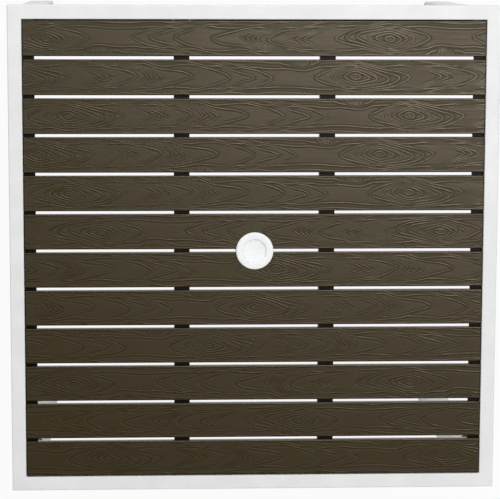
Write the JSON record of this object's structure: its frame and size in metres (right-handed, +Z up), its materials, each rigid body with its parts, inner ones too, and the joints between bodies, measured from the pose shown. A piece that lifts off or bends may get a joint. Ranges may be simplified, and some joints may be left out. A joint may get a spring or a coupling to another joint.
{
  "type": "square patio table",
  "caption": "Square slatted patio table with a mitred white tube frame, wood-grained resin slats, bolted legs, levelling feet and a plugged umbrella hole.",
  "frame": {"origin": "on the floor, under the middle of the top", "axes": "+Z up, X along the slats, -Y the front (the lower edge of the picture)"},
  "size_m": [0.94, 0.94, 0.7294],
  "materials": {
    "slat_resin": "embossed wood grain, dark brown",
    "frame_coat": "white powder coat",
    "support_coat": "black powder coat",
    "umbrella_plastic": "moulded, white",
    "foot_plastic": "moulded, grey",
    "zinc_steel": "zinc plated"
  },
  "bodies": {
    "table": {"slat_01": "slat_resin", "slat_02": "slat_resin", "slat_03": "slat_resin", "slat_04": "slat_resin", "slat_05": "slat_resin", "slat_06": "slat_resin", "slat_07": "slat_resin", "slat_08": "slat_resin", "slat_09": "slat_resin", "slat_10": "slat_resin", "slat_11": "slat_resin", "slat_12": "slat_resin", "front_rail": "frame_coat", "rear_rail": "frame_coat", "left_rail": "frame_coat", "right_rail": "frame_coat", "left_batten": "support_coat", "right_batten": "support_coat", "left_ledger": "support_coat", "right_ledger": "support_coat", "batten_brackets": "support_coat", "front_left_gusset": "frame_coat", "front_left_leg_flange": "frame_coat", "front_left_leg": "frame_coat", "front_left_foot_insert": "foot_plastic", "front_right_gusset": "frame_coat", "front_right_leg_flange": "frame_coat", "front_right_leg": "frame_coat", "front_right_foot_insert": "foot_plastic", "rear_right_gusset": "frame_coat", "rear_right_leg_flange": "frame_coat", "rear_right_leg": "frame_coat", "rear_right_foot_insert": "foot_plastic", "rear_left_gusset": "frame_coat", "rear_left_leg_flange": "frame_coat", "rear_left_leg": "frame_coat", "rear_left_foot_insert": "foot_plastic", "leg_bolts": "zinc_steel", "umbrella_sleeve": "umbrella_plastic", "sleeve_nut": "umbrella_plastic"},
    "umbrella_plug": {"umbrella_plug": "umbrella_plastic"},
    "front_left_foot": {"front_left_foot_pad": "foot_plastic"},
    "front_left_stem": {"front_left_foot_stem": "zinc_steel"},
    "front_right_foot": {"front_right_foot_pad": "foot_plastic"},
    "front_right_stem": {"front_right_foot_stem": "zinc_steel"},
    "rear_right_foot": {"rear_right_foot_pad": "foot_plastic"},
    "rear_right_stem": {"rear_right_foot_stem": "zinc_steel"},
    "rear_left_foot": {"rear_left_foot_pad": "foot_plastic"},
    "rear_left_stem": {"rear_left_foot_stem": "zinc_steel"}
  },
  "joints": [
    {"name": "plug_lift", "type": "slide", "parent": "table", "child": "umbrella_plug", "axis": [0, 0, 1], "range_m": [0, 0.05]},
    {"name": "front_left_foot_travel", "type": "slide", "parent": "table", "child": "front_left_foot", "axis": [0, 0, 1], "range_m": [0, 0.012]},
    {"name": "front_left_stem_turn", "type": "hinge", "parent": "front_left_foot", "child": "front_left_stem", "pos_m": [-0.439, -0.439, 0.0145], "axis": [0, 0, 1], "range_deg": [0, 3456]},
    {"name": "front_right_foot_travel", "type": "slide", "parent": "table", "child": "front_right_foot", "axis": [0, 0, 1], "range_m": [0, 0.012]},
    {"name": "front_right_stem_turn", "type": "hinge", "parent": "front_right_foot", "child": "front_right_stem", "pos_m": [0.439, -0.439, 0.0145], "axis": [0, 0, 1], "range_deg": [0, 3456]},
    {"name": "rear_right_foot_travel", "type": "slide", "parent": "table", "child": "rear_right_foot", "axis": [0, 0, 1], "range_m": [0, 0.012]},
    {"name": "rear_right_stem_turn", "type": "hinge", "parent": "rear_right_foot", "child": "rear_right_stem", "pos_m": [0.439, 0.439, 0.0145], "axis": [0, 0, 1], "range_deg": [0, 3456]},
    {"name": "rear_left_foot_travel", "type": "slide", "parent": "table", "child": "rear_left_foot", "axis": [0, 0, 1], "range_m": [0, 0.012]},
    {"name": "rear_left_stem_turn", "type": "hinge", "parent": "rear_left_foot", "child": "rear_left_stem", "pos_m": [-0.439, 0.439, 0.0145], "axis": [0, 0, 1], "range_deg": [0, 3456]}
  ],
  "couplings": [
    {"joint": "front_left_stem_turn", "follows": "front_left_foot_travel", "rad_per_m": 5026.5},
    {"joint": "front_right_stem_turn", "follows": "front_right_foot_travel", "rad_per_m": 5026.5},
    {"joint": "rear_right_stem_turn", "follows": "rear_right_foot_travel", "rad_per_m": 5026.5},
    {"joint": "rear_left_stem_turn", "follows": "rear_left_foot_travel", "rad_per_m": 5026.5}
  ]
}
